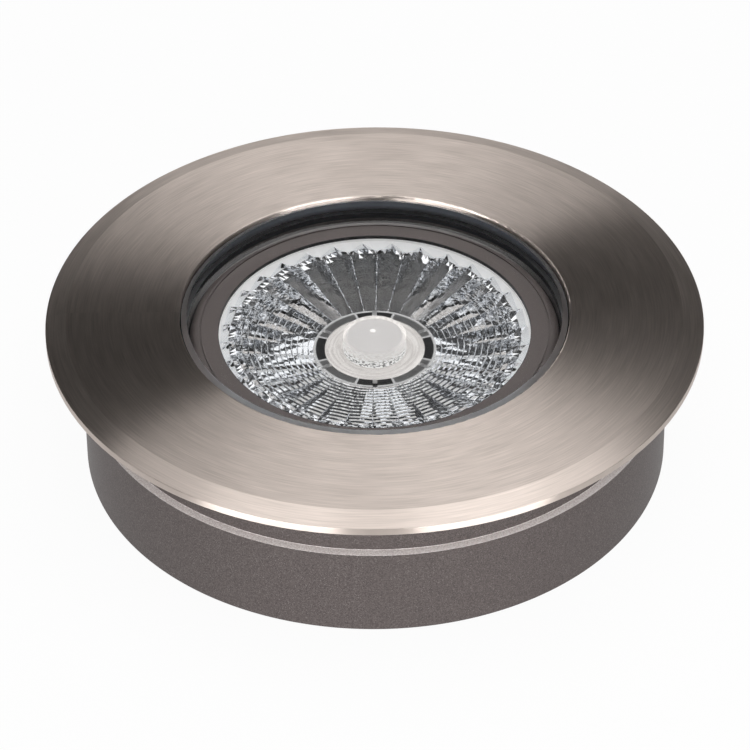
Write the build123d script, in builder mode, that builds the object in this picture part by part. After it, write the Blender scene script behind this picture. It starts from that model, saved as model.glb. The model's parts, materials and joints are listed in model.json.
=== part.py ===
from build123d import *
from math import cos, pi, sin, sqrt
import os

# In-ground well light: a turned steel trim and a thick glass over a faceted lens in a two-part housing.
#
# Millimetres, +Z up. The origin is the centre of the flat base, and the trim's top face is the highest
# plane. The front assembly (trim, glass, front housing) screws out of the rear housing, which holds the
# rest. Radii are worked out from the light source and the lens outwards, and heights from the base up.

# ---- Light source and its frosted core ----
led_size = 11.5
led_thickness = 1.0
led_side_gap = 0.37  # between the board's corners and the lens holder
phosphor_thickness = 0.3
pad_thickness = 0.3
core_radius = 5.2
core_height = 5.9
core_wall = 0.8
core_flange_thickness = 0.8
core_gap = 0.1
core_edge_round = 0.6

# ---- Lens holder ----
holder_wall = 3.0
holder_height = 2.3
holder_slot_count = 6
holder_slot_width = 0.8
ear_radius = 2.5
ear_gap = 0.6  # between the ring and the head of an ear's screw
ear_start = 90  # degrees
head_gap = 0.1  # between the ears' screw heads and the lens's base plane

# ---- Faceted lens ----
petal_count = 32
ring_count = 8
petal_clocking = -1.3  # degrees
facet_outer = 25.4
facet_curve = 1.9  # exponent of the back's profile: 1 is a cone, 2 a bowl
lens_depth = 7.25
lens_foot = 2.0  # flat base of the lens beyond the core's flange
lens_rim_width = 2.2
lens_rim_thickness = 1.3
lens_side_gap = 0.2
spacer_wall = 1.0

# ---- Inner bezel ----
bezel_wall = 3.3
bezel_opening_gap = 0.8  # from the facets' outer edge to the bezel's lip
bezel_lip = 0.6
bezel_round = 1.5
bezel_side_gap = 0.3
groove_margin = 0.2  # between the groove and the rounded edge
groove_width = 0.3
groove_depth = 0.25

# ---- Cover glass and its gasket ----
glass_clearance = 1.05  # air between glass and bezel
glass_seat = 1.05  # width of the gasket's floor that the glass rests on
glass_gap = 0.15  # radial, between glass and trim
glass_thickness = 5.5
glass_recess = 0.2
glass_bevel_width = 1.0
glass_bevel_drop = 0.5
gasket_wall = 0.7
gasket_floor = 1.0

# ---- Steel trim ----
flange_overhang = 5.75  # beyond the rear housing
flange_edge = 1.2  # upright band below the bevel
bevel_width = 3.5
bevel_drop = 1.1
bore_round = 0.3
rim_round = 0.12
nest_depth = 0.3  # recess under the trim that takes the front housing's web
nest_gap = 0.1

# ---- Housings ----
rear_height = 16.2
rear_wall = 3.2
rear_floor = 2.5
base_round = 0.5
ledge_width = 1.2
web_thickness = 3.0
hub_wall = 2.6
seat_depth = 2.2
rib_count = 8
rib_thickness = 2.4
rib_drop = 3.2

# ---- Screw joint between the housings ----
thread_gap = 0.05  # radial running clearance of every screwed pair
thread_length = 3.0
spigot_length = 5.5
spigot_wall = 3.0
seal_groove_width = 1.9
seal_groove_depth = 1.4
seal_gap = 0.05

# ---- Trim studs, washers and nuts ----
stud_count = 4
stud_radius = 1.5
stud_hole_gap = 0.2
stud_tail = 0.8
washer_radius = 3.3
washer_thickness = 0.5
washer_side_gap = 0.325
nut_flats = 5.5
nut_height = 2.4

# ---- Screws: the large size holds the spreader, the small size the rest ----
large_screw_radius = 1.5
large_head_radius = 2.85
large_head_height = 1.65
large_socket_radius = 1.2
small_screw_radius = 1.0
small_head_radius = 1.9
small_head_height = 1.1
screw_hole_gap = 0.15
tip_gap = 0.5

# ---- Heat spreader and its posts ----
spreader_thickness = 2.0
spreader_side_gap = 0.5
post_count = 4
post_radius = 3.5
post_screw_length = 6.0
bezel_screw_count = 3
bezel_screw_depth = 5.0

# ---- Driver board ----
board_side_gap = 2.0
board_boss_gap = 1.5
board_thickness = 1.2
standoff_count = 3
standoff_inset = 5.5  # from the board's edge
standoff_radius = 2.5
standoff_height = 1.2
board_screw_length = 3.0
headroom = 3.7  # over the board, below the heat spreader
headroom_gap = 0.3
inductor_size = 8.0
inductor_round = 1.0
inductor_angle = 90
capacitor_length = 7.3
capacitor_width = 4.3
capacitor_height = 2.8
capacitor_angles = (35, 145)
chip_length = 5.0
chip_width = 4.0
chip_height = 1.6
chip_angle = 225
rectifier_length = 6.5
rectifier_width = 5.0
rectifier_angle = 315
terminal_length = 9.0
terminal_width = 6.5
terminal_mouth = 2.0
lead_radius = 0.5
lead_pitch = 2.0
lead_bend = 1.5
lead_reach = 3.0  # from the lens holder out to where the leads come up
lead_slot_margin = 1.5

# ---- Cable inlet ----
inlet_radius = 3.2
gland_nut_wall = 3.8
gland_nut_height = 2.7
gland_nut_recess = 0.3
gland_seal_wall = 2.8
gland_seal_height = 2.5
gland_washer_thickness = 0.5
gland_boss_wall = 2.0
gland_roof = 1.0
gland_side_gap = 0.05
spanner_hole_radius = 0.9
spanner_hole_depth = 1.8

# ---- Heights worked out from the values above ----
board_bottom = rear_floor + standoff_height
board_top = board_bottom + board_thickness
spreader_bottom = board_top + headroom
spreader_top = spreader_bottom + spreader_thickness
lens_base = spreader_top + holder_height
lens_front = lens_base + lens_depth
lens_rim_bottom = lens_front - lens_rim_thickness
bezel_top = lens_front + bezel_lip
glass_bottom = bezel_top + glass_clearance
seat_top = glass_bottom - gasket_floor
glass_top = glass_bottom + glass_thickness
trim_top = glass_top + glass_recess
flange_bottom = trim_top - bevel_drop - flange_edge
web_top = flange_bottom + nest_depth
web_bottom = web_top - web_thickness
spigot_bottom = rear_height - spigot_length
seal_height = spigot_bottom + thread_length + seal_groove_width / 2
component_height = headroom - headroom_gap
led_bottom = spreader_top + pad_thickness
led_top = led_bottom + led_thickness
lead_height = spreader_top + lead_radius + thread_gap
core_base = lens_base - core_flange_thickness
core_top = lens_base + core_height - core_gap
ear_thickness = holder_height - small_head_height - head_gap
gland_shoulder = gland_nut_recess + gland_nut_height
gland_seal_top = gland_shoulder + gland_washer_thickness + gland_seal_height
gland_boss_top = gland_seal_top + gland_roof

# ---- Radii worked out from the values above ----
phosphor_radius = core_radius - core_wall - core_gap
lens_cavity_radius = core_radius + core_gap
holder_bore = led_size / sqrt(2) + led_side_gap
core_flange_radius = holder_bore - core_gap
holder_radius = holder_bore + holder_wall
ear_circle = holder_radius + small_head_radius + ear_gap
facet_inner = core_flange_radius + lens_foot
lens_rim_radius = facet_outer + lens_rim_width
barrel_bore = lens_rim_radius + lens_side_gap
bezel_radius = barrel_bore + bezel_wall
bezel_opening = facet_outer + bezel_opening_gap
bezel_screw_circle = (barrel_bore + bezel_radius) / 2
groove_radius = bezel_radius - bezel_round - groove_margin
seat_bore = bezel_radius + bezel_side_gap
glass_radius = seat_bore + glass_seat
trim_bore = glass_radius + glass_gap
pocket_radius = glass_radius + gasket_wall
hub_radius = pocket_radius + hub_wall
spigot_bore = hub_radius + 2 * (washer_radius + washer_side_gap)
stud_circle = (hub_radius + spigot_bore) / 2
spigot_radius = spigot_bore + spigot_wall
seal_groove_floor = spigot_radius - seal_groove_depth
housing_bore = spigot_radius + thread_gap
seal_section_radius = (housing_bore - seal_groove_floor) / 2 - seal_gap
rear_radius = housing_bore + rear_wall
neck_radius = rear_radius - ledge_width
flange_radius = rear_radius + flange_overhang
spreader_radius = spigot_bore - spreader_side_gap
post_circle = spreader_radius - post_radius
gland_nut_radius = inlet_radius + gland_nut_wall
gland_seal_radius = inlet_radius + gland_seal_wall
gland_boss_radius = gland_nut_radius + gland_boss_wall
board_outer = post_circle - post_radius - board_side_gap
board_inner = gland_boss_radius + board_boss_gap
standoff_circle = board_outer - standoff_inset
part_circle = (board_inner + standoff_circle) / 2
lead_entry = holder_radius + lead_reach

# ---- Turns that centre each pattern between its neighbours, in degrees ----
stud_start = 180 / stud_count
post_start = 180 / post_count
rib_start = 180 / rib_count
slot_start = 180 / holder_slot_count


def half_section(*corners):
    """Face of a turned piece's half section, from (radius, height) corners joined by straight lines."""
    with BuildLine() as outline:
        Polyline(*corners, close=True)
    make_face(outline.edges())


def ring_section(inner, outer, bottom, top):
    """Rectangular half section of a plain ring."""
    half_section((inner, bottom), (outer, bottom), (outer, top), (inner, top))


def on_circle(radius, angle):
    """Point at this radius and angle in degrees, as (x, y)."""
    turn = angle * pi / 180
    return (radius * cos(turn), radius * sin(turn))


def ring_height(ratio):
    """Height of the lens's back at this share of the way from its base to its facets' outer edge."""
    return lens_base + (lens_rim_bottom - lens_base) * ratio**facet_curve


# ================= Front assembly: turns and rises as it is unscrewed =================

# Steel flange with a wide bevel round its upper edge, open over the glass and recessed underneath
with BuildPart() as trim_ring:
    with BuildSketch(Plane.XZ):
        half_section(
            (trim_bore, web_top),
            (neck_radius + nest_gap, web_top),
            (neck_radius + nest_gap, flange_bottom),
            (flange_radius, flange_bottom),
            (flange_radius, flange_bottom + flange_edge),
            (flange_radius - bevel_width, trim_top),
            (trim_bore, trim_top),
        )
    revolve(axis=Axis.Z)
    top_edges = trim_ring.faces().sort_by(Axis.Z)[-1].edges()
    fillet(top_edges.sort_by(SortBy.LENGTH)[0], bore_round)
    rim_edges = trim_ring.edges().filter_by(GeomType.CIRCLE).group_by(SortBy.LENGTH)[-1]
    fillet(rim_edges.sort_by(Axis.Z)[-1], rim_round)

# Studs welded under the flange, which draw it down onto the front housing
with BuildPart() as trim_studs:
    with BuildSketch(Plane.XY.offset(web_top)):
        with PolarLocations(stud_circle, stud_count, stud_start):
            Circle(stud_radius)
    extrude(amount=-(web_thickness + washer_thickness + nut_height + stud_tail))

with BuildPart() as trim_washers:
    with BuildSketch(Plane.XY.offset(web_bottom)):
        with PolarLocations(stud_circle, stud_count, stud_start):
            Circle(washer_radius)
            Circle(stud_radius + thread_gap, mode=Mode.SUBTRACT)
    extrude(amount=-washer_thickness)

with BuildPart() as trim_nuts:
    with BuildSketch(Plane.XY.offset(web_bottom - washer_thickness)):
        with PolarLocations(stud_circle, stud_count, stud_start):
            RegularPolygon(nut_flats / 2, 6, major_radius=False)
            Circle(stud_radius + thread_gap, mode=Mode.SUBTRACT)
    extrude(amount=-nut_height)

# Thick round glass, its upper edge ground to a narrow bevel
with BuildPart() as cover_glass:
    with BuildSketch(Plane.XZ):
        half_section(
            (0, glass_bottom),
            (glass_radius, glass_bottom),
            (glass_radius, glass_top - glass_bevel_drop),
            (glass_radius - glass_bevel_width, glass_top),
            (0, glass_top),
        )
    revolve(axis=Axis.Z)

# Rubber gasket of L section, which carries the glass and fills round its edge
with BuildPart() as glass_gasket:
    with BuildSketch(Plane.XZ):
        half_section(
            (seat_bore, seat_top),
            (pocket_radius, seat_top),
            (pocket_radius, web_top),
            (glass_radius, web_top),
            (glass_radius, glass_bottom),
            (seat_bore, glass_bottom),
        )
    revolve(axis=Axis.Z)

# Cast front housing: glass pocket, web, neck and the threaded spigot below the ledge
with BuildPart() as front_housing:
    with BuildSketch(Plane.XZ):
        half_section(
            (seat_bore, seat_top - seat_depth),
            (hub_radius, seat_top - seat_depth),
            (hub_radius, web_bottom),
            (spigot_bore, web_bottom),
            (spigot_bore, spigot_bottom),
            (spigot_radius, spigot_bottom),
            (spigot_radius, rear_height),
            (neck_radius, rear_height),
            (neck_radius, web_top),
            (pocket_radius, web_top),
            (pocket_radius, seat_top),
            (seat_bore, seat_top),
        )
    revolve(axis=Axis.Z)
    # radial ribs under the web, between the studs
    with BuildSketch(Plane.XY.offset(web_bottom)):
        with PolarLocations(stud_circle, rib_count, rib_start):
            Rectangle(spigot_bore - hub_radius + hub_wall, rib_thickness)
    extrude(amount=-rib_drop)
    # stud holes
    with BuildSketch(Plane.XY.offset(web_top)):
        with PolarLocations(stud_circle, stud_count, stud_start):
            Circle(stud_radius + stud_hole_gap)
    extrude(amount=-web_thickness, mode=Mode.SUBTRACT)
    # seal groove above the thread
    with BuildSketch(Plane.XZ):
        ring_section(
            seal_groove_floor,
            spigot_radius + ledge_width,
            spigot_bottom + thread_length,
            spigot_bottom + thread_length + seal_groove_width,
        )
    revolve(axis=Axis.Z, mode=Mode.SUBTRACT)

# Seal in the groove, which rises with the front housing but need not turn with it
with BuildPart() as housing_seal:
    with BuildSketch(Plane.XZ):
        with Locations(((housing_bore + seal_groove_floor) / 2, seal_height)):
            Circle(seal_section_radius)
    revolve(axis=Axis.Z)

# ================= Rear housing =================

# Cast pot with posts for the heat spreader, standoffs for the board and a boss for the cable inlet
with BuildPart() as rear_housing:
    with BuildSketch(Plane.XZ):
        half_section(
            (0, 0),
            (rear_radius, 0),
            (rear_radius, rear_height),
            (housing_bore, rear_height),
            (housing_bore, rear_floor),
            (0, rear_floor),
        )
    revolve(axis=Axis.Z)
    base_edge = rear_housing.edges().filter_by(GeomType.CIRCLE).sort_by(Axis.Z)[0]
    fillet(base_edge, base_round)
    with BuildSketch(Plane.XY.offset(rear_floor)):
        Circle(gland_boss_radius)
    extrude(amount=gland_boss_top - rear_floor)
    with BuildSketch(Plane.XY.offset(rear_floor)):
        with PolarLocations(post_circle, post_count, post_start):
            Circle(post_radius)
    extrude(amount=spreader_bottom - rear_floor)
    with BuildSketch(Plane.XY.offset(rear_floor)):
        with PolarLocations(standoff_circle, standoff_count):
            Circle(standoff_radius)
    extrude(amount=standoff_height)
    # tapped holes in the posts and standoffs
    with BuildSketch(Plane.XY.offset(spreader_bottom)):
        with PolarLocations(post_circle, post_count, post_start):
            Circle(large_screw_radius + thread_gap)
    extrude(amount=-(post_screw_length - spreader_thickness + tip_gap), mode=Mode.SUBTRACT)
    with BuildSketch(Plane.XY.offset(board_bottom)):
        with PolarLocations(standoff_circle, standoff_count):
            Circle(small_screw_radius + thread_gap)
    extrude(amount=-(board_screw_length - board_thickness + tip_gap), mode=Mode.SUBTRACT)
    # stepped bore of the cable inlet: nut, seal, cable
    with BuildSketch(Plane.XY):
        Circle(gland_nut_radius)
    extrude(amount=gland_shoulder, mode=Mode.SUBTRACT)
    with BuildSketch(Plane.XY.offset(gland_shoulder)):
        Circle(gland_seal_radius)
    extrude(amount=gland_seal_top - gland_shoulder, mode=Mode.SUBTRACT)
    with BuildSketch(Plane.XY.offset(gland_seal_top)):
        Circle(inlet_radius)
    extrude(amount=gland_roof, mode=Mode.SUBTRACT)

# ---- Cable inlet ----

# Flush nut that presses the seal onto the cable, with two blind holes for a pin spanner
with BuildPart() as gland_nut:
    with BuildSketch(Plane.XY.offset(gland_nut_recess)):
        Circle(gland_nut_radius - gland_side_gap)
        Circle(inlet_radius, mode=Mode.SUBTRACT)
    extrude(amount=gland_nut_height)
    with BuildSketch(Plane.XY.offset(gland_nut_recess)):
        with PolarLocations((inlet_radius + gland_nut_radius) / 2, 2):
            Circle(spanner_hole_radius)
    extrude(amount=spanner_hole_depth, mode=Mode.SUBTRACT)

with BuildPart() as gland_washer:
    with BuildSketch(Plane.XY.offset(gland_shoulder)):
        Circle(gland_seal_radius - gland_side_gap)
        Circle(inlet_radius, mode=Mode.SUBTRACT)
    extrude(amount=gland_washer_thickness)

with BuildPart() as gland_seal:
    with BuildSketch(Plane.XY.offset(gland_shoulder + gland_washer_thickness)):
        Circle(gland_seal_radius - gland_side_gap)
        Circle(inlet_radius, mode=Mode.SUBTRACT)
    extrude(amount=gland_seal_height)

# ---- Driver board and what stands on it ----

with BuildPart() as driver_board:
    with BuildSketch(Plane.XY.offset(board_bottom)):
        Circle(board_outer)
        Circle(board_inner, mode=Mode.SUBTRACT)
        with PolarLocations(standoff_circle, standoff_count):
            Circle(small_screw_radius + screw_hole_gap, mode=Mode.SUBTRACT)
    extrude(amount=board_thickness)

with BuildPart() as board_screws:
    with BuildSketch(Plane.XY.offset(board_top)):
        with PolarLocations(standoff_circle, standoff_count):
            Circle(small_screw_radius)
    extrude(amount=-board_screw_length)
    with BuildSketch(Plane.XY.offset(board_top)):
        with PolarLocations(standoff_circle, standoff_count):
            Circle(small_head_radius)
    extrude(amount=small_head_height)

with BuildPart() as driver_inductor:
    with BuildSketch(Plane.XY.offset(board_top)):
        with Locations(on_circle(part_circle, inductor_angle)):
            RectangleRounded(inductor_size, inductor_size, inductor_round)
    extrude(amount=component_height)

with BuildPart() as driver_capacitors:
    with BuildSketch(Plane.XY.offset(board_top)):
        for angle in capacitor_angles:
            with Locations(on_circle(part_circle, angle)):
                Rectangle(capacitor_width, capacitor_length)
    extrude(amount=capacitor_height)

with BuildPart() as driver_chip:
    with BuildSketch(Plane.XY.offset(board_top)):
        with Locations(on_circle(part_circle, chip_angle)):
            Rectangle(chip_length, chip_width)
    extrude(amount=chip_height)

with BuildPart() as rectifier:
    with BuildSketch(Plane.XY.offset(board_top)):
        with Locations(on_circle(part_circle, rectifier_angle)):
            Rectangle(rectifier_length, rectifier_width)
    extrude(amount=chip_height)

# Two-way terminal block, its wire mouths facing the cable inlet
with BuildPart() as terminal_block:
    with BuildSketch(Plane.XY.offset(board_top)):
        with Locations((0, -part_circle)):
            Rectangle(terminal_length, terminal_width)
    extrude(amount=component_height)
    mouth_plane = Plane.XZ.offset(part_circle - terminal_width / 2)
    with BuildSketch(mouth_plane):
        with Locations((0, board_top + component_height / 2)):
            with GridLocations(terminal_length / 2, 0, 2, 1):
                Rectangle(terminal_mouth, terminal_mouth)
    extrude(amount=terminal_width / 2, mode=Mode.SUBTRACT)

# ---- Heat spreader ----

with BuildPart() as heat_spreader:
    with BuildSketch(Plane.XY.offset(spreader_bottom)):
        Circle(spreader_radius)
        with PolarLocations(post_circle, post_count, post_start):
            Circle(large_screw_radius + screw_hole_gap, mode=Mode.SUBTRACT)
        with PolarLocations(bezel_screw_circle, bezel_screw_count):
            Circle(small_screw_radius + screw_hole_gap, mode=Mode.SUBTRACT)
        with PolarLocations(ear_circle, 2, ear_start):
            Circle(small_screw_radius + thread_gap, mode=Mode.SUBTRACT)
        with Locations((lead_entry, 0)):
            Rectangle(
                2 * (lead_radius + lead_slot_margin),
                lead_pitch + 2 * (lead_radius + lead_slot_margin),
                mode=Mode.SUBTRACT,
            )
    extrude(amount=spreader_thickness)

with BuildPart() as spreader_screws:
    with BuildSketch(Plane.XY.offset(spreader_top)):
        with PolarLocations(post_circle, post_count, post_start):
            Circle(large_screw_radius)
    extrude(amount=-post_screw_length)
    with BuildSketch(Plane.XY.offset(spreader_top)):
        with PolarLocations(post_circle, post_count, post_start):
            Circle(large_head_radius)
            RegularPolygon(large_socket_radius, 6, mode=Mode.SUBTRACT)
    extrude(amount=large_head_height)

# ---- Light source ----

with BuildPart() as thermal_pad:
    with BuildSketch(Plane.XY.offset(spreader_top)):
        Rectangle(led_size, led_size)
    extrude(amount=pad_thickness)

with BuildPart() as led_board:
    with BuildSketch(Plane.XY.offset(led_bottom)):
        Rectangle(led_size, led_size)
    extrude(amount=led_thickness)

with BuildPart() as led_phosphor:
    with BuildSketch(Plane.XY.offset(led_top)):
        Circle(phosphor_radius)
    extrude(amount=phosphor_thickness)

# Two leads from the driver board up through the spreader and in to the light source
with BuildPart() as led_leads:
    for side in (-1, 1):
        lead_y = side * lead_pitch / 2
        with BuildLine() as lead_route:
            FilletPolyline(
                (lead_entry, lead_y, board_top),
                (lead_entry, lead_y, lead_height),
                (led_size / 2, lead_y, lead_height),
                radius=lead_bend,
            )
        with BuildSketch(Plane((lead_entry, lead_y, board_top))):
            Circle(lead_radius)
        sweep(path=lead_route.wire())

# ---- Lens holder, frosted core and lens ----

# Dark ring round the light source, with two screwed ears, narrow slots and a gap for the leads
with BuildPart() as lens_holder:
    with BuildSketch(Plane.XY.offset(spreader_top)):
        Circle(holder_radius)
        with PolarLocations(ear_circle, 2, ear_start):
            Circle(ear_radius)
        Rectangle(2 * ear_radius, 2 * ear_circle)
        Circle(holder_bore, mode=Mode.SUBTRACT)
        with PolarLocations(ear_circle, 2, ear_start):
            Circle(small_screw_radius + screw_hole_gap, mode=Mode.SUBTRACT)
    extrude(amount=ear_thickness)
    with BuildSketch(Plane.XY.offset(spreader_top + ear_thickness)):
        Circle(holder_radius)
        Circle(holder_bore, mode=Mode.SUBTRACT)
    extrude(amount=holder_height - ear_thickness)
    with BuildSketch(Plane.XY.offset(lens_base)):
        with PolarLocations((holder_bore + holder_radius) / 2, holder_slot_count, slot_start):
            Rectangle(holder_radius - holder_bore + holder_slot_width, holder_slot_width)
    extrude(amount=-(holder_height - ear_thickness), mode=Mode.SUBTRACT)
    with BuildSketch(Plane.XY.offset(spreader_top)):
        with Locations((holder_radius, 0)):
            Rectangle(2 * (holder_radius - core_radius), lead_pitch + 4 * lead_radius)
    extrude(amount=2 * lead_radius + 2 * thread_gap, mode=Mode.SUBTRACT)

with BuildPart() as holder_screws:
    with BuildSketch(Plane.XY.offset(spreader_top + ear_thickness)):
        with PolarLocations(ear_circle, 2, ear_start):
            Circle(small_screw_radius)
    extrude(amount=-(ear_thickness + spreader_thickness))
    with BuildSketch(Plane.XY.offset(spreader_top + ear_thickness)):
        with PolarLocations(ear_circle, 2, ear_start):
            Circle(small_head_radius)
    extrude(amount=small_head_height)

# Frosted cap over the light source: a flange and a hollow round-edged post that fills the lens's cavity
with BuildPart() as core_diffuser:
    with BuildSketch(Plane.XZ):
        half_section(
            (core_radius - core_wall, core_base),
            (core_flange_radius, core_base),
            (core_flange_radius, lens_base),
            (core_radius, lens_base),
            (core_radius, core_top - core_edge_round),
            (core_radius - core_edge_round, core_top),
            (0, core_top),
            (0, core_top - core_wall),
            (core_radius - core_wall, core_top - core_wall),
        )
    revolve(axis=Axis.Z)

# Clear lens: flat front and rim, and a back of flat facets in petals that narrow to the core
with BuildPart() as lens:
    for ring in range(ring_count + 1):
        ratio = ring / ring_count
        petal_radius = facet_inner + (facet_outer - facet_inner) * ratio
        with BuildSketch(Plane.XY.offset(ring_height(ratio))):
            RegularPolygon(petal_radius, petal_count, rotation=petal_clocking)
    loft(ruled=True)
    with BuildSketch(Plane.XY.offset(lens_rim_bottom)):
        Circle(lens_rim_radius)
    extrude(amount=lens_rim_thickness)
    with BuildSketch(Plane.XY.offset(lens_base)):
        Circle(lens_cavity_radius)
    extrude(amount=core_height, mode=Mode.SUBTRACT)

# Sleeve that holds the lens's rim up against the bezel
with BuildPart() as lens_spacer:
    with BuildSketch(Plane.XZ):
        ring_section(lens_rim_radius - spacer_wall, lens_rim_radius, spreader_top, lens_rim_bottom)
    revolve(axis=Axis.Z)

# ---- Inner bezel ----

# Deep ring round the lens, rounded at its outer edge, with a fine groove and blind holes underneath
with BuildPart() as inner_bezel:
    with BuildSketch(Plane.XZ):
        half_section(
            (barrel_bore, spreader_top),
            (bezel_radius, spreader_top),
            (bezel_radius, bezel_top),
            (bezel_opening, bezel_top),
            (bezel_opening, lens_front),
            (barrel_bore, lens_front),
        )
    revolve(axis=Axis.Z)
    crown = inner_bezel.faces().sort_by(Axis.Z)[-1].edges().sort_by(SortBy.LENGTH)
    fillet(crown[-1], bezel_round)
    with BuildSketch(Plane.XZ):
        ring_section(groove_radius - groove_width, groove_radius, bezel_top - groove_depth, bezel_top)
    revolve(axis=Axis.Z, mode=Mode.SUBTRACT)
    with BuildSketch(Plane.XY.offset(spreader_top)):
        with PolarLocations(bezel_screw_circle, bezel_screw_count):
            Circle(small_screw_radius + thread_gap)
    extrude(amount=bezel_screw_depth + tip_gap, mode=Mode.SUBTRACT)

# Screws from under the spreader into the bezel
with BuildPart() as bezel_screws:
    with BuildSketch(Plane.XY.offset(spreader_bottom)):
        with PolarLocations(bezel_screw_circle, bezel_screw_count):
            Circle(small_screw_radius)
    extrude(amount=spreader_thickness + bezel_screw_depth)
    with BuildSketch(Plane.XY.offset(spreader_bottom)):
        with PolarLocations(bezel_screw_circle, bezel_screw_count):
            Circle(small_head_radius)
    extrude(amount=-small_head_height)

# ================= Files =================

pieces = {
    "trim_ring": trim_ring,
    "trim_studs": trim_studs,
    "trim_washers": trim_washers,
    "trim_nuts": trim_nuts,
    "cover_glass": cover_glass,
    "glass_gasket": glass_gasket,
    "front_housing": front_housing,
    "housing_seal": housing_seal,
    "rear_housing": rear_housing,
    "gland_nut": gland_nut,
    "gland_washer": gland_washer,
    "gland_seal": gland_seal,
    "driver_board": driver_board,
    "board_screws": board_screws,
    "driver_inductor": driver_inductor,
    "driver_capacitors": driver_capacitors,
    "driver_chip": driver_chip,
    "rectifier": rectifier,
    "terminal_block": terminal_block,
    "heat_spreader": heat_spreader,
    "spreader_screws": spreader_screws,
    "thermal_pad": thermal_pad,
    "led_board": led_board,
    "led_phosphor": led_phosphor,
    "led_leads": led_leads,
    "lens_holder": lens_holder,
    "holder_screws": holder_screws,
    "core_diffuser": core_diffuser,
    "lens": lens,
    "lens_spacer": lens_spacer,
    "inner_bezel": inner_bezel,
    "bezel_screws": bezel_screws,
}

os.makedirs("parts", exist_ok=True)
for name, piece in pieces.items():
    piece.part.label = name
    export_step(piece.part, f"parts/{name}.step")
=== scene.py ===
import json
from collections import namedtuple
from math import cos, pi, radians, sin, tan

import bmesh
import bpy
from mathutils import Matrix, Vector


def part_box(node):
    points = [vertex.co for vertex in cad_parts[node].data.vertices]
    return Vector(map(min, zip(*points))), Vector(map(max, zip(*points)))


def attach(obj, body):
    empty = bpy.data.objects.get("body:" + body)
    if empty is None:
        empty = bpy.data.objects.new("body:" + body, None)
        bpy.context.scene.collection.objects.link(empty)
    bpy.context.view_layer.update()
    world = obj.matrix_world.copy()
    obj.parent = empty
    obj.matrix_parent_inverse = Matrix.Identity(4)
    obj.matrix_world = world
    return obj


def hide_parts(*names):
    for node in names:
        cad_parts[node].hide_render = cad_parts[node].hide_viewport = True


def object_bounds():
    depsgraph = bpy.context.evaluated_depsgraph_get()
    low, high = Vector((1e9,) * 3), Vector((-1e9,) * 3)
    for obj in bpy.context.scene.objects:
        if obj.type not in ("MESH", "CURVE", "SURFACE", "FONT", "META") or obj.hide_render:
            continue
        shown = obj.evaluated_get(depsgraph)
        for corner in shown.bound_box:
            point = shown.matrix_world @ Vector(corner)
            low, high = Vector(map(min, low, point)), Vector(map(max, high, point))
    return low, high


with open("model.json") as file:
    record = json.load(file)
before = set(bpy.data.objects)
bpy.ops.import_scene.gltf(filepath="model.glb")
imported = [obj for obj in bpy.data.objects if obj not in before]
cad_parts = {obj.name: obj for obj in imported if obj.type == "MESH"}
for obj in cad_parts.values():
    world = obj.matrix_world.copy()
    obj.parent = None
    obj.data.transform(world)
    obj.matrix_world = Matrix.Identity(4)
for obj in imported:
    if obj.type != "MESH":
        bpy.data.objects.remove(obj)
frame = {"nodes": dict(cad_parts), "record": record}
cad_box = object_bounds()
nodes = frame["nodes"]

MM = 0.001
centre = (cad_box[0] + cad_box[1]) / 2

# the glass stays just clear of its gasket, because faces that coincide come out ragged
glass_low, glass_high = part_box("cover_glass")
glass_clearance, glass_lift = 0.06 * MM, 0.02 * MM
glass_bevel_width, glass_bevel_drop = 1.0 * MM, 0.5 * MM
glass_edge = glass_high.x - glass_clearance

lens_low, lens_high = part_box("lens")
bezel_opening = 26.2 * MM
ledge_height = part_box("rear_housing")[1].z
ledge_inner, ledge_drop = 48.05 * MM, 0.2 * MM
floor_gap = 0.02 * MM


# ---------------------------------------------------------------- Camera

view_elevation = radians(38.366)
view_distance = 0.6928
view_roll = radians(-0.456)
focal_pixels = 4094.6
image_pixels = 750
sensor_width = 36.0
nearest_seen, farthest_seen = 0.05, 50.0


def make_camera():
    """Camera at the photograph's angle, aimed at the middle of the object."""
    data = bpy.data.cameras.new("camera")
    data.sensor_width = sensor_width
    data.lens = focal_pixels / image_pixels * sensor_width
    data.clip_start = nearest_seen
    data.clip_end = farthest_seen
    camera = bpy.data.objects.new("camera", data)
    back = Vector((0, -cos(view_elevation), sin(view_elevation)))
    camera.location = centre + back * view_distance
    aim = (-back).to_track_quat("-Z", "Y").to_matrix()
    camera.rotation_euler = (aim @ Matrix.Rotation(view_roll, 3, "Z")).to_euler()
    bpy.context.scene.collection.objects.link(camera)
    bpy.context.scene.camera = camera


# ---------------------------------------------------------------- Node helpers

Place = namedtuple("Place", "position radius angle height")


def new_material(name):
    """Empty node material and its tree, with the output node's surface socket."""
    material = bpy.data.materials.new(name)
    material.use_nodes = True
    tree = material.node_tree
    tree.nodes.clear()
    output = tree.nodes.new("ShaderNodeOutputMaterial")
    return material, tree, output.inputs["Surface"]


def add(tree, kind, settings=None, **inputs):
    """Adds a node; settings are its own attributes, and inputs are constants or sockets to link."""
    node = tree.nodes.new(kind)
    for name, value in (settings or {}).items():
        setattr(node, name, value)
    for name, value in inputs.items():
        key = int(name[1:]) if name[0] == "i" and name[1:].isdigit() else name.replace("_", " ")
        socket = node.inputs[key]
        if isinstance(value, bpy.types.NodeSocket):
            tree.links.new(value, socket)
        else:
            socket.default_value = value
    return node


def maths(tree, operation, first, second=0.0):
    """One Math node's result."""
    return add(tree, "ShaderNodeMath", {"operation": operation}, i0=first, i1=second).outputs[0]


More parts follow.
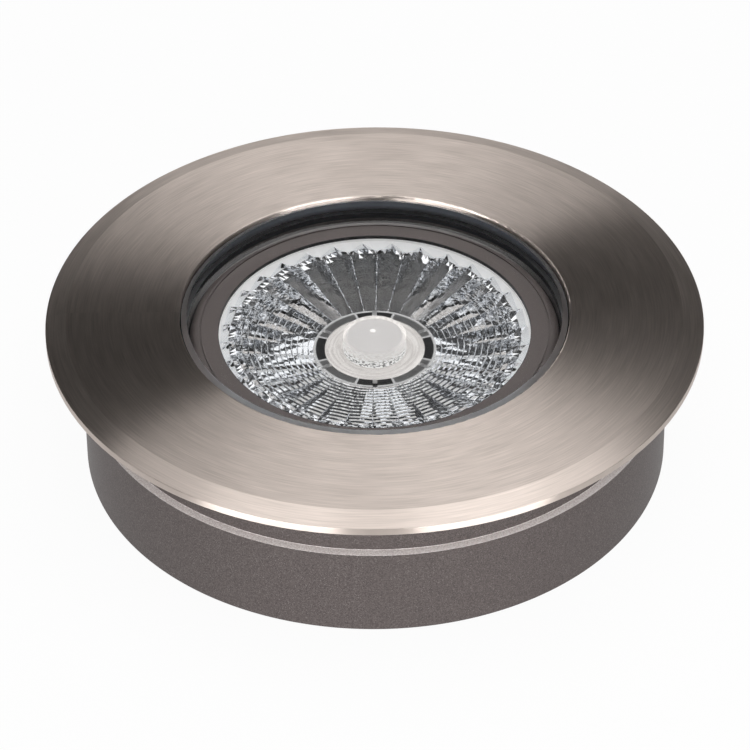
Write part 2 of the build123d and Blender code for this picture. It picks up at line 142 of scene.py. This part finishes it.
def ramp(tree, value, low, high, to_low=0.0, to_high=1.0):
    """Value mapped from low..high to to_low..to_high, held at the ends."""
    node = add(tree, "ShaderNodeMapRange", {"clamp": True}, Value=value)
    node.inputs["From Min"].default_value = low
    node.inputs["From Max"].default_value = high
    node.inputs["To Min"].default_value = to_low
    node.inputs["To Max"].default_value = to_high
    return node.outputs["Result"]


def blend_colours(tree, share, first, second):
    """Colour that goes from first to second with share."""
    node = add(tree, "ShaderNodeMix", {"data_type": "RGBA"}, Factor=share)
    for key, value in (("A", first), ("B", second)):
        socket = [s for s in node.inputs if s.name == key and s.type == "RGBA"][0]
        if isinstance(value, bpy.types.NodeSocket):
            tree.links.new(value, socket)
        else:
            socket.default_value = (*value, 1.0)
    return [s for s in node.outputs if s.type == "RGBA"][0]


def noise(tree, vector, scale, detail=2.0, roughness=0.5):
    """Noise texture's value, about 0.5 in the middle."""
    return add(tree, "ShaderNodeTexNoise", Vector=vector, Scale=scale, Detail=detail,
               Roughness=roughness).outputs["Fac"]


def stretched_noise(tree, x, y, z, detail, roughness=0.5):
    """Noise at a point whose coordinates are scaled one by one, so that its grain is long one way."""
    point = add(tree, "ShaderNodeCombineXYZ", X=x, Y=y, Z=z).outputs[0]
    return noise(tree, point, 1.0, detail, roughness)


def place(tree):
    """Where a point lies: its position, and its radius, angle and height about the vertical axis."""
    position = add(tree, "ShaderNodeTexCoord").outputs["Object"]
    x, y, z = add(tree, "ShaderNodeSeparateXYZ", Vector=position).outputs
    squares = maths(tree, "ADD", maths(tree, "MULTIPLY", x, x), maths(tree, "MULTIPLY", y, y))
    return Place(position, maths(tree, "SQRT", squares), maths(tree, "ARCTAN2", y, x), z)


def bump(tree, height, strength, distance):
    """Normal from a height, with the height's full range standing for distance metres."""
    return add(tree, "ShaderNodeBump", Strength=strength, Distance=distance, Height=height).outputs["Normal"]


# ---------------------------------------------------------------- Materials

# Colours are linear, and the depths of bumps are in metres.
white_light = (1.0, 1.0, 1.0, 1.0)


def brushed_steel():
    """Stainless steel turned and brushed in circles about the axis."""
    fine_scale, broad_scale, round_scale = 4200.0, 520.0, 5.0
    fine_share, broad_share = 0.7, 0.3
    dark, bright = (0.53, 0.462, 0.418), (0.745, 0.652, 0.595)
    smooth, rough = 0.32, 0.39
    material, tree, surface = new_material("trim_steel_brushed")
    at = place(tree)
    # long streaks: fine across the radius, slow round the circle
    around = maths(tree, "MULTIPLY", at.angle, round_scale)
    fine_across = maths(tree, "MULTIPLY", at.radius, fine_scale)
    broad_across = maths(tree, "MULTIPLY", at.radius, broad_scale)
    streaks = stretched_noise(tree, fine_across, around, at.height, 3.0, 0.6)
    broad = stretched_noise(tree, broad_across, around, at.height, 2.0)
    mixed = maths(tree, "ADD", maths(tree, "MULTIPLY", streaks, fine_share),
                  maths(tree, "MULTIPLY", broad, broad_share))
    shine = ramp(tree, mixed, 0.3, 0.7)
    tangent = add(tree, "ShaderNodeTangent", {"direction_type": "RADIAL", "axis": "Z"}).outputs[0]
    shader = add(tree, "ShaderNodeBsdfPrincipled", Base_Color=blend_colours(tree, shine, dark, bright),
                 Metallic=1.0, Roughness=ramp(tree, mixed, 0.3, 0.7, smooth, rough), Anisotropic=1.0,
                 Anisotropic_Rotation=0.25, Tangent=tangent, Normal=bump(tree, streaks, 0.25, 0.00002))
    tree.links.new(shader.outputs[0], surface)
    return material


def powder_coat():
    """Fine-grained brown-grey powder coat with small bright flakes, and a pale speckled band on the narrow
    ledge that is partly a paler bare edge and partly painted highlight.
    """
    dark_grain, pale_grain, flake = (0.054, 0.045, 0.044), (0.089, 0.075, 0.072), (0.15, 0.135, 0.13)
    # near-white speckle on the ledge: painted highlight for the light the ledge catches
    dim_ledge_highlight, bright_ledge_highlight = (0.80, 0.74, 0.73), (1.0, 0.96, 0.95)
    ledge_foot = ledge_height - ledge_drop
    fade_start, fade_end = ledge_height + 0.01 * MM, ledge_height + 0.04 * MM
    material, tree, surface = new_material("powder_coat_grain")
    at = place(tree)
    grain = noise(tree, at.position, 3600.0, 2.0, 0.6)
    flakes = noise(tree, at.position, 6500.0, 1.0, 0.5)
    base = blend_colours(tree, ramp(tree, grain, 0.35, 0.65), dark_grain, pale_grain)
    coat = blend_colours(tree, ramp(tree, flakes, 0.62, 0.7), base, flake)
    above_foot = ramp(tree, at.height, ledge_foot - 0.04 * MM, ledge_foot)
    below_top = ramp(tree, at.height, fade_start, fade_end, 1.0, 0.0)
    # where the ledge's painted highlight lies
    ledge_highlight_mask = maths(tree, "MULTIPLY", above_foot, below_top)
    ledge_highlight = blend_colours(tree, ramp(tree, grain, 0.4, 0.6), dim_ledge_highlight, bright_ledge_highlight)
    shader = add(tree, "ShaderNodeBsdfPrincipled", Base_Color=blend_colours(tree, ledge_highlight_mask, coat, ledge_highlight),
                 Metallic=0.1, Roughness=0.5, Specular_IOR_Level=0.15, Normal=bump(tree, grain, 0.5, 0.00004))
    tree.links.new(shader.outputs[0], surface)
    return material


def bezel_paint():
    """Smooth brown-grey satin paint with faint turning lines, and painted shade on the inner wall in the
    sharp corner round the lens.
    """
    dark, pale, shade = (0.114, 0.095, 0.090), (0.148, 0.124, 0.118), (0.012, 0.011, 0.011)
    corner_start, corner_end = bezel_opening + 0.05 * MM, bezel_opening + 0.12 * MM
    material, tree, surface = new_material("bezel_satin")
    at = place(tree)
    rings = stretched_noise(tree, maths(tree, "MULTIPLY", at.radius, 4000.0), at.angle, 0.0, 1.0)
    grain = noise(tree, at.position, 3200.0, 1.0)
    paint = blend_colours(tree, grain, dark, pale)
    # painted shade: near black on the inner wall round the lens opening
    corner = ramp(tree, at.radius, corner_start, corner_end, 1.0, 0.0)
    shader = add(tree, "ShaderNodeBsdfPrincipled", Base_Color=blend_colours(tree, corner, paint, shade),
                 Metallic=0.2, Roughness=0.45, Normal=bump(tree, rings, 0.3, 0.00001))
    tree.links.new(shader.outputs[0], surface)
    return material


def see_through(tree, shader, tint):
    """Lets lamps light what lies behind a clear piece."""
    shadow = add(tree, "ShaderNodeLightPath").outputs["Is Shadow Ray"]
    clear_shader = add(tree, "ShaderNodeBsdfTransparent", Color=(*tint, 1.0))
    return add(tree, "ShaderNodeMixShader", i0=shadow, i1=shader, i2=clear_shader.outputs[0]).outputs[0]


def clear_glass():
    """Polished glass with a finely ground bevel, and an upright edge ground coarser and darker."""
    shadow_tint, dark_edge_painted_shade, pale_edge_with_painted_light = (0.98, 0.98, 0.98), (0.004, 0.004, 0.005), (0.036, 0.041, 0.051)
    bevel_start, bevel_blur, bevel_roughness = glass_edge - glass_bevel_width, 0.05 * MM, 0.32
    band_foot, band_full = glass_high.z - 5.4 * MM, glass_high.z - 3.6 * MM
    fade_start, fade_end, faded = glass_high.z - 3.4 * MM, glass_high.z - 0.6 * MM, 0.12
    edge_skin = 0.02 * MM
    material, tree, surface = new_material("cover_glass_clear")
    at = place(tree)
    ground = ramp(tree, at.radius, bevel_start - bevel_blur, bevel_start + bevel_blur, 0.0, bevel_roughness)
    glass = add(tree, "ShaderNodeBsdfPrincipled", Base_Color=(0.985, 0.985, 0.985, 1.0), Roughness=ground,
                Transmission_Weight=1.0, IOR=1.5)
    # the upright edge is pale in a band below the bevel, partly its ground tone and partly painted light, and
    # dark above and below that band as painted shade
    painted_light_band = maths(tree, "MULTIPLY", ramp(tree, at.height, band_foot, band_full),
                 ramp(tree, at.height, fade_start, fade_end, 1.0, faded))
    edge = add(tree, "ShaderNodeBsdfPrincipled", Base_Color=blend_colours(tree, painted_light_band, dark_edge_painted_shade, pale_edge_with_painted_light),
               Roughness=0.6)
    on_edge = maths(tree, "GREATER_THAN", at.radius, glass_edge - edge_skin)
    both = add(tree, "ShaderNodeMixShader", i0=on_edge, i1=glass.outputs[0], i2=edge.outputs[0]).outputs[0]
    tree.links.new(see_through(tree, both, shadow_tint), surface)
    return material


def clear_plastic():
    """Moulded clear optic."""
    shadow_tint, low_tint, high_tint = (0.98, 0.98, 0.98), (0.985, 0.985, 0.985), (0.995, 0.995, 0.995)
    material, tree, surface = new_material("lens_clear")
    grain = noise(tree, place(tree).position, 900.0, 1.0)
    shader = add(tree, "ShaderNodeBsdfPrincipled", Base_Color=blend_colours(tree, grain, low_tint, high_tint),
                 Roughness=0.0, Transmission_Weight=1.0, IOR=1.49)
    tree.links.new(see_through(tree, shader.outputs[0], shadow_tint), surface)
    return material


def facet_mirror():
    """Bright metal film on the backs of the lens's facets, with the faint ripple of a moulding."""
    dull, bright = (0.82, 0.83, 0.85), (0.92, 0.93, 0.94)
    ripple_depth = 0.000003
    material, tree, surface = new_material("lens_facet_film")
    position = place(tree).position
    ripples = noise(tree, position, 1800.0, 2.0, 0.6)
    colour = blend_colours(tree, noise(tree, position, 500.0), dull, bright)
    shader = add(tree, "ShaderNodeBsdfPrincipled", Base_Color=colour, Metallic=1.0, Roughness=0.0,
                 Normal=bump(tree, ripples, 0.8, ripple_depth))
    tree.links.new(shader.outputs[0], surface)
    return material


def holder_plastic():
    """Dark arcs on a paler ring, with a thin glowing line of painted highlight at each arc's end and round
    the ring's outside.
    """
    arc_waves = 2.0
    arc_end = 0.62
    line_inner, line_outer = 9.85 * MM, 10.0 * MM
    # painted highlight: near-white lines that glow though the holder is no lamp
    highlight_line_colour, highlight_line_glow = (0.95, 0.95, 0.95), 0.12
    material, tree, surface = new_material("holder_arcs")
    at = place(tree)
    swing = maths(tree, "ABSOLUTE", maths(tree, "SINE", maths(tree, "MULTIPLY", at.angle, arc_waves)))
    grain = noise(tree, at.position, 1200.0, 2.0)
    dark = blend_colours(tree, grain, (0.11, 0.11, 0.113), (0.15, 0.15, 0.153))
    pale = blend_colours(tree, grain, (0.55, 0.55, 0.555), (0.85, 0.85, 0.85))
    arcs = blend_colours(tree, ramp(tree, swing, arc_end - 0.02, arc_end + 0.02), dark, pale)
    off_end = maths(tree, "ABSOLUTE", maths(tree, "SUBTRACT", swing, arc_end))
    arc_end_highlights = ramp(tree, off_end, 0.02, 0.05, 1.0, 0.0)
    highlight_lines = maths(tree, "MAXIMUM", arc_end_highlights, ramp(tree, at.radius, line_inner, line_outer))
    shader = add(tree, "ShaderNodeBsdfPrincipled", Base_Color=blend_colours(tree, highlight_lines, arcs, highlight_line_colour),
                 Roughness=0.35, Emission_Color=white_light,
                 Emission_Strength=maths(tree, "MULTIPLY", highlight_lines, highlight_line_glow),
                 Normal=bump(tree, grain, 0.4, 0.00004))
    tree.links.new(shader.outputs[0], surface)
    return material


def frosted_plastic():
    """Warm white frosted moulding with faint turning rings and an even painted glow, a darker top that is
    painted shade with a stronger painted glow on it, and a painted highlight spot near its post's middle.
    """
    # the top's colour is darker than the rings as painted shade
    ring_dark, ring_pale, shaded_top_colour = (0.84, 0.82, 0.805), (0.99, 0.975, 0.96), (0.72, 0.70, 0.69)
    highlight_spot_colour = (1.0, 0.99, 0.98)
    point_place = (-0.3 * MM, 1.3 * MM, lens_low.z + 5.7 * MM)
    point_radius, point_fade = 0.3 * MM, 0.6 * MM
    top_start, top_full = lens_low.z + 4.5 * MM, lens_low.z + 5.5 * MM
    # painted glow: the moulding glows though it is no lamp, more on its top and most in the highlight spot
    glow, top_glow, highlight_spot_glow = 0.22, 0.22, 0.6
    material, tree, surface = new_material("core_frosted")
    at = place(tree)
    rings = stretched_noise(tree, maths(tree, "MULTIPLY", at.radius, 2600.0),
                            maths(tree, "MULTIPLY", at.angle, 0.8), 0.0, 2.0, 0.6)
    top = ramp(tree, at.height, top_start, top_full)
    ringed = blend_colours(tree, ramp(tree, rings, 0.4, 0.6), ring_dark, ring_pale)
    colour = blend_colours(tree, top, ringed, shaded_top_colour)
    off = add(tree, "ShaderNodeVectorMath", {"operation": "DISTANCE"}, i0=at.position, i1=point_place)
    # painted highlight: a bright glowing spot near the middle of the post's top
    point = ramp(tree, off.outputs["Value"], point_radius, point_fade, 1.0, 0.0)
    painted_glow = maths(tree, "ADD", maths(tree, "MULTIPLY", top, top_glow), glow)
    with_highlight_spot = blend_colours(tree, point, colour, highlight_spot_colour)
    shader = add(tree, "ShaderNodeBsdfPrincipled", Base_Color=with_highlight_spot, Roughness=0.2, Emission_Color=colour,
                 Emission_Strength=maths(tree, "ADD", maths(tree, "MULTIPLY", point, highlight_spot_glow), painted_glow),
                 Normal=bump(tree, rings, 0.4, 0.00004))
    tree.links.new(shader.outputs[0], surface)
    return material


def ribbed_wall():
    """Wall of the lens's pocket, frosted above and broken near its foot into small ribs whose bright and dark
    colours are painted glints, with a painted glow over the whole wall.
    """
    frost, dark_glint, bright_glint = (0.74, 0.72, 0.70), (0.16, 0.16, 0.16), (0.99, 0.99, 0.98)
    foot_start, foot_end, foot_left = lens_low.z + 1.6 * MM, lens_low.z + 3.4 * MM, 0.15
    # painted glow: the wall glows in its own colour though it is no lamp
    glow = 0.62
    material, tree, surface = new_material("pocket_ribs")
    at = place(tree)
    ribs = stretched_noise(tree, maths(tree, "MULTIPLY", at.angle, 9.0),
                           maths(tree, "MULTIPLY", at.height, 1500.0), 0.0, 2.0, 0.6)
    foot = ramp(tree, at.height, foot_start, foot_end, 1.0, foot_left)
    # painted glints: bright and dark rib colours near the foot
    painted_glints = blend_colours(tree, ramp(tree, ribs, 0.42, 0.56), dark_glint, bright_glint)
    colour = blend_colours(tree, foot, frost, painted_glints)
    shader = add(tree, "ShaderNodeBsdfPrincipled", Base_Color=colour, Roughness=0.3, Emission_Color=colour,
                 Emission_Strength=glow, Normal=bump(tree, ribs, 0.4, 0.00005))
    tree.links.new(shader.outputs[0], surface)
    return material


def plain(name, colour, other, roughness, metallic=0.0, gloss=0.5, glow=0.0):
    """Material with a fine mottle between two colours, a slight grain and any painted glow it is given."""
    grain_scale, grain_depth = 2500.0, 0.00002
    material, tree, surface = new_material(name)
    grain = noise(tree, place(tree).position, grain_scale, 2.0)
    shader = add(tree, "ShaderNodeBsdfPrincipled", Base_Color=blend_colours(tree, grain, colour, other),
                 Metallic=metallic, Roughness=ramp(tree, grain, 0.3, 0.7, roughness * 0.9, roughness * 1.1),
                 Specular_IOR_Level=gloss, Emission_Color=white_light, Emission_Strength=glow,
                 Normal=bump(tree, grain, 0.3, grain_depth))
    tree.links.new(shader.outputs[0], surface)
    return material


finishes = {
    "trim_steel": brushed_steel(),
    "powder_coat": powder_coat(),
    "bezel_paint": bezel_paint(),
    "clear_glass": clear_glass(),
    "clear_plastic": clear_plastic(),
    "frosted_plastic": frosted_plastic(),
    "black_rubber": plain("rubber_black", (0.006, 0.006, 0.007), (0.010, 0.010, 0.011), 0.9, gloss=0.1),
    "dark_plastic": holder_plastic(),
    "fastener_steel": plain("fastener_steel_fine", (0.5, 0.5, 0.5), (0.6, 0.6, 0.6), 0.3, metallic=1.0),
    "nickel_brass": plain("gland_nickel", (0.62, 0.6, 0.55), (0.7, 0.67, 0.62), 0.28, metallic=1.0),
    "circuit_board": plain("board_green", (0.02, 0.12, 0.06), (0.03, 0.16, 0.08), 0.4),
    "tan_plastic": plain("capacitor_tan", (0.55, 0.4, 0.2), (0.6, 0.45, 0.25), 0.4),
    "terminal_plastic": plain("terminal_grey", (0.5, 0.52, 0.5), (0.56, 0.58, 0.56), 0.4),
    # the spreader is coloured near black, far darker than its bare aluminium slot, so that the cavity under
    # the lens reads dark
    "bare_aluminium": plain("spreader_near_black", (0.02, 0.02, 0.021), (0.03, 0.03, 0.031), 0.5),
    "thermal_pad": plain("pad_grey", (0.35, 0.35, 0.37), (0.4, 0.4, 0.42), 0.7),
    "led_board": plain("led_board_white", (0.8, 0.8, 0.78), (0.86, 0.86, 0.84), 0.3),
    "led_phosphor": plain("phosphor_yellow", (0.85, 0.65, 0.15), (0.9, 0.72, 0.2), 0.5),
    "lead_insulation": plain("lead_black", (0.02, 0.02, 0.02), (0.03, 0.03, 0.03), 0.4),
}

# painted glow: the white sleeve glows to stand in for light reaching it through the clear optics
sleeve_white_painted_glow = plain("sleeve_white_painted_glow", (0.93, 0.93, 0.92), (0.97, 0.97, 0.96), 0.5, glow=0.42)
facet_film = facet_mirror()
post_wall = ribbed_wall()

slot_of = {row["node"]: row["material_slot"] for row in frame["record"]["subparts"]}
for node_name, node_object in nodes.items():
    node_object.data.materials.clear()
    node_object.data.materials.append(finishes[slot_of[node_name]])


# ---------------------------------------------------------------- Pieces in fine meshes

merge_distance = 0.001 * MM
sharp_angle = radians(20)
fine_steps = 720


def new_piece(name, points, faces, slot_name, more_finishes=(), numbers=None):
    """Object with coinciding points merged. numbers gives each face's finish; the slot's own is number 0."""
    mesh = bpy.data.meshes.new(name)
    mesh.from_pydata(points, [], faces)
    for finish in (finishes[slot_name], *more_finishes):
        mesh.materials.append(finish)
    if numbers:
        mesh.polygons.foreach_set("material_index", numbers)
    shape = bmesh.new()
    shape.from_mesh(mesh)
    bmesh.ops.remove_doubles(shape, verts=shape.verts, dist=merge_distance)
    bmesh.ops.delete(shape, geom=[edge for edge in shape.edges if edge.is_wire], context="EDGES")
    bmesh.ops.recalc_face_normals(shape, faces=shape.faces)
    shape.to_mesh(mesh)
    shape.free()
    piece = bpy.data.objects.new(name, mesh)
    bpy.context.scene.collection.objects.link(piece)
    return piece


def stack(name, rings, slot_name, more_finishes=(), bands=()):
    """Closed skin through rings of equally many points, each joined to the next, with a cap at either end.

    bands numbers the finish of each band between two rings; the slot's own finish is number 0."""
    count = len(rings[0])
    points = [point for ring in rings for point in ring]
    faces = [tuple(range(count))]
    numbers = [0]
    for ring in range(len(rings) - 1):
        first = ring * count
        number = bands[ring] if bands else 0
        for k in range(count):
            along = (k + 1) % count
            faces.append((first + k, first + along, first + count + along, first + count + k))
            numbers.append(number)
    faces.append(tuple(reversed(range(len(points) - count, len(points)))))
    numbers.append(0)
    return new_piece(name, points, faces, slot_name, more_finishes, numbers)


def circle(radius, height, count):
    """Points of a level circle about the axis."""
    turns = [2 * pi * step / count for step in range(count)]
    return [(radius * cos(turn), radius * sin(turn), height) for turn in turns]


def smooth_sides(piece):
    """Shades the piece smooth where its faces meet at less than the sharp angle."""
    shape = bmesh.new()
    shape.from_mesh(piece.data)
    for edge in shape.edges:
        edge.smooth = edge.calc_face_angle(pi) < sharp_angle
    for face in shape.faces:
        face.smooth = True
    shape.to_mesh(piece.data)
    shape.free()


def make_cover_glass():
    """Cover glass in a finer circle than the solid's, because light bends through it."""
    outline = [
        (glass_edge, glass_low.z + glass_lift),
        (glass_edge, glass_high.z - glass_bevel_drop),
        (glass_edge - glass_bevel_width, glass_high.z),
    ]
    rings = [circle(radius, height, fine_steps) for radius, height in outline]
    piece = stack("cover_glass_fine", rings, "clear_glass")
    smooth_sides(piece)
    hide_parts("cover_glass")
    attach(piece, "front")


def turned(name, solids, slot_name):
    """Piece made of turned solids. Each is a closed outline of radii and heights, its axis's x and y, and its
    number of steps round."""
    points, faces = [], []
    for outline, (x, y), steps in solids:
        first, count = len(points), len(outline)
        for step in range(steps):
            turn = 2 * pi * step / steps
            points += [(x + radius * cos(turn), y + radius * sin(turn), height) for radius, height in outline]
        for step in range(steps):
            here = first + step * count
            along = first + (step + 1) % steps * count
            for corner in range(count):
                after = (corner + 1) % count
                faces.append((here + corner, along + corner, along + after, here + after))
    piece = new_piece(name, points, faces, slot_name)
    smooth_sides(piece)
    return piece


# supports of one kind in the rear housing: the circle they stand on, their number and first angle, and each
# one's radius and top, with the radius and bottom of its tapped hole
Supports = namedtuple("Supports", "circle count first_angle radius top hole_radius hole_bottom")

base_round, round_steps = 0.5 * MM, 8
housing_bore, housing_floor = 46.05 * MM, 2.5 * MM
gland_boss_radius, gland_boss_top = 9.0 * MM, 7.0 * MM
inlet_radius = 3.2 * MM
gland_seal_radius, gland_seal_top = 6.0 * MM, 6.0 * MM
gland_nut_radius, gland_shoulder = 7.0 * MM, 3.0 * MM
posts = Supports(39.0 * MM, 4, radians(45), 3.5 * MM, 8.6 * MM, 1.55 * MM, 4.1 * MM)
standoffs = Supports(28.0 * MM, 3, 0.0, 2.5 * MM, 3.7 * MM, 1.05 * MM, 2.6 * MM)
support_sink = 0.1 * MM
support_steps = 48


def make_rear_housing():
    """Rear housing turned in finer steps than the solid's, so that its rounded base edge runs clean."""
    low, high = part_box("rear_housing")
    outline = [(high.x - base_round + base_round * sin(turn), low.z + base_round - base_round * cos(turn))
               for turn in (pi / 2 * step / round_steps for step in range(round_steps + 1))]
    # the ledge falls slightly outwards and catches the low lamps
    outline += [(high.x, high.z - ledge_drop), (ledge_inner, high.z)]
    outline += [(housing_bore, high.z), (housing_bore, housing_floor)]
    outline += [(gland_boss_radius, housing_floor), (gland_boss_radius, gland_boss_top)]
    outline += [(inlet_radius, gland_boss_top), (inlet_radius, gland_seal_top)]
    outline += [(gland_seal_radius, gland_seal_top), (gland_seal_radius, gland_shoulder)]
    outline += [(gland_nut_radius, gland_shoulder), (gland_nut_radius, low.z)]
    solids = [(outline, (0.0, 0.0), fine_steps)]
    support_foot = housing_floor - support_sink
    for kind in (posts, standoffs):
        support = [(0.0, support_foot), (kind.radius, support_foot), (kind.radius, kind.top)]
        support += [(kind.hole_radius, kind.top), (kind.hole_radius, kind.hole_bottom)]
        support += [(0.0, kind.hole_bottom)]
        for number in range(kind.count):
            turn = kind.first_angle + 2 * pi * number / kind.count
            solids.append((support, (kind.circle * cos(turn), kind.circle * sin(turn)), support_steps))
    piece = turned("rear_housing_fine", solids, "powder_coat")
    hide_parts("rear_housing")
    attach(piece, "rear")


petal_count = 32
petal_clocking = radians(-1.3)
petal_places = (-1.0, -0.95, -0.72, -0.38, 0.0, 0.38, 0.72, 0.95)
row_count = 15
row_growth = 1.1
row_slope = radians(32)
facet_inner = 10.4 * MM
facet_outer = 25.75 * MM
flute_depth = 0.1 * MM
seam_depth = 0.32 * MM
tooth_outer = 26.12 * MM
tooth_depth = 4.0 * MM
tooth_growth = 18
tooth_gap = 0.02 * MM
rim_thickness = 1.3 * MM
rim_relief = 0.3 * MM
cavity_radius = 5.3 * MM
cavity_height = 5.9 * MM
rim_underside = lens_high.z - rim_thickness
# numbers of the lens's finishes, in the order in which its mesh gets them
clear, film, white, ribbed = range(4)


def bowl_height(radius):
    """Height of the mean back of the lens, which rises evenly from its foot to its rim."""
    share = (radius - facet_inner) / (tooth_outer - facet_inner)
    return lens_low.z + (rim_underside - lens_low.z) * share


def petal_ring(radius, height, middle, side, seam, tooth):
    """Ring round all petals: each is a flat side sunk by middle at its centre and by side at its ends, with
    the seam between two petals sunk by its own depth. A pointed notch as deep as tooth comes on top."""
    half = pi / petal_count
    ring = []
    for petal in range(petal_count):
        for place_across in petal_places:
            turn = petal_clocking + half * (2 * petal + place_across + 1)
            flat = radius * cos(half) / cos(place_across * half)
            sunk = middle + (side - middle) * place_across**2 + tooth * abs(place_across)
            if abs(place_across) == 1:
                sunk = seam + tooth
            ring.append((flat * cos(turn), flat * sin(turn), max(height - sunk, lens_low.z)))
    return ring


def make_lens():
    """Clear lens: flat front, thin rim, and a back of small facets in rows that step up from core to rim."""
    places_round = [petal_clocking + pi / petal_count * (2 * petal + place_across + 1)
                    for petal in range(petal_count) for place_across in petal_places]

    def level(radius, height):
        return [(radius * cos(turn), radius * sin(turn), height) for turn in places_round]

    span = facet_outer - facet_inner
    edges = [facet_inner + span * (row / row_count) ** row_growth for row in range(row_count + 1)]
    rings = [level(cavity_radius, lens_low.z + cavity_height), level(cavity_radius, lens_low.z)]
    bands = [ribbed]
    for row, (near, far) in enumerate(zip(edges, edges[1:])):
        start = bowl_height(near)
        end = start + (far - near) * tan(row_slope)
        for radius, height in ((near, start), (far, end)):
            share = (radius - facet_inner) / span
            seam = height - bowl_height(radius)
            rings.append(petal_ring(radius, height, flute_depth * share, seam_depth * share, seam,
                                    tooth_depth * share**tooth_growth))
        bands += [film if row else clear, film]
    # the petals' notched ends, and the white sleeve wall that shows between them
    rings.append(petal_ring(tooth_outer, rim_underside, flute_depth, seam_depth, 0.0, tooth_depth))
    rings.append(level(tooth_outer + tooth_gap, rim_underside + rim_relief))
    rings.append(level(lens_high.x, rim_underside + rim_relief))
    rings.append(level(lens_high.x, lens_high.z))
    bands += [film, white, white, clear]
    piece = stack("lens_faceted", rings, "clear_plastic", [facet_film, sleeve_white_painted_glow, post_wall], bands)
    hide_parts("lens")
    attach(piece, "rear")


make_rear_housing()
make_cover_glass()
make_lens()


# ---------------------------------------------------------------- Floor, world and lamps

def make_floor():
    """Plain white floor that shows white to the camera and in reflections, and keeps the object's shadow."""
    half = 6.0
    dim, bright = (0.5, 0.5, 0.5), (0.95, 0.95, 0.95)
    corners = [(-half, -half, 0), (half, -half, 0), (half, half, 0), (-half, half, 0)]
    mesh = bpy.data.meshes.new("floor")
    mesh.from_pydata(corners, [], [(0, 1, 2, 3)])
    floor = bpy.data.objects.new("floor", mesh)
    floor.location.z = cad_box[0].z - floor_gap
    bpy.context.scene.collection.objects.link(floor)
    material, tree, surface = new_material("floor_white")
    paths = add(tree, "ShaderNodeLightPath").outputs
    seen = maths(tree, "MAXIMUM", maths(tree, "MAXIMUM", paths["Is Camera Ray"], paths["Is Glossy Ray"]),
                 paths["Is Transmission Ray"])
    lit = add(tree, "ShaderNodeBsdfDiffuse", Color=blend_colours(tree, seen, dim, bright))
    glow = add(tree, "ShaderNodeEmission", Color=white_light, Strength=1.0)
    share = maths(tree, "MULTIPLY", seen, 0.95)
    mixed = add(tree, "ShaderNodeMixShader", i0=share, i1=lit.outputs[0], i2=glow.outputs[0])
    tree.links.new(mixed.outputs[0], surface)
    mesh.materials.append(material)


def make_world():
    """Studio that is dim near the horizon and darker above it."""
    world = bpy.data.worlds.new("studio")
    bpy.context.scene.world = world
    world.use_nodes = True
    tree = world.node_tree
    tree.nodes.clear()
    direction = add(tree, "ShaderNodeTexCoord").outputs["Generated"]
    height = add(tree, "ShaderNodeSeparateXYZ", Vector=direction).outputs["Z"]
    near_horizon = ramp(tree, height, 0.05, 0.25, 1.0, 0.0)
    colour = blend_colours(tree, near_horizon, (0.05, 0.05, 0.05), (0.12, 0.12, 0.12))
    background = add(tree, "ShaderNodeBackground", Color=colour, Strength=1.0)
    output = tree.nodes.new("ShaderNodeOutputWorld")
    tree.links.new(background.outputs[0], output.inputs["Surface"])


lamp_target = Vector((0, 0, 20 * MM))


def softbox(name, azimuth, elevation, distance, width, height, power):
    """Area lamp aimed at the object. Azimuth 0 is the camera's side, and positive is to the right."""
    data = bpy.data.lights.new(name, "AREA")
    data.shape = "RECTANGLE"
    data.size = width
    data.size_y = height
    data.energy = power
    lamp = bpy.data.objects.new(name, data)
    a, e = radians(azimuth), radians(elevation)
    back = Vector((sin(a) * cos(e), -cos(a) * cos(e), sin(e)))
    lamp.location = lamp_target + back * distance
    lamp.rotation_euler = (-back).to_track_quat("-Z", "Y").to_euler()
    bpy.context.scene.collection.objects.link(lamp)


make_camera()
make_floor()
make_world()
softbox("top_softbox", azimuth=120, elevation=83, distance=0.6, width=0.967, height=0.767, power=3.7)
for side_name, side_azimuth in (("left_softbox", -32), ("right_softbox", 32)):
    softbox(side_name, side_azimuth, elevation=4, distance=1.0, width=0.75, height=0.1, power=9.5)

scene = bpy.context.scene
scene.view_settings.view_transform = "Standard"
# light goes back and forth many times between the lens's facets
scene.cycles.max_bounces = 24
scene.cycles.transmission_bounces = 24
scene.cycles.glossy_bounces = 16
